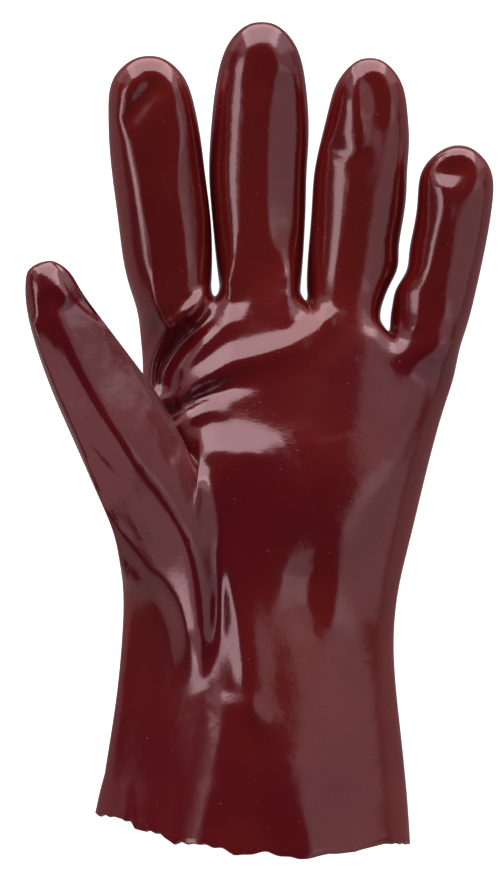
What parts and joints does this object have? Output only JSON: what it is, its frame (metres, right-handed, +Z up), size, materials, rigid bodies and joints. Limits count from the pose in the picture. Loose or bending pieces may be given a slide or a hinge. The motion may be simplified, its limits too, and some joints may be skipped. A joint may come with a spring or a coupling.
{
  "type": "chemical-resistant glove",
  "caption": "Left-hand gauntlet glove, dipped in glossy soft plastic in one seamless hollow shell, with spread fingers, creased palm and a hand-cut cuff edge, lying palm up.",
  "frame": {"origin": "on the surface the glove lies on, under the middle of its bounding box", "axes": "+Y from the cut edge of the cuff to the fingertips, +Z up out of the palm, the thumb on the -X side"},
  "size_m": [0.1504, 0.2702, 0.069],
  "materials": {
    "dipped_plastic": "wet-look dipped gloss over a faint grain, dark ox-blood red, rustier where the coat is thin"
  },
  "bodies": {
    "root": {"glove_shell": "dipped_plastic"}
  },
  "joints": []
}
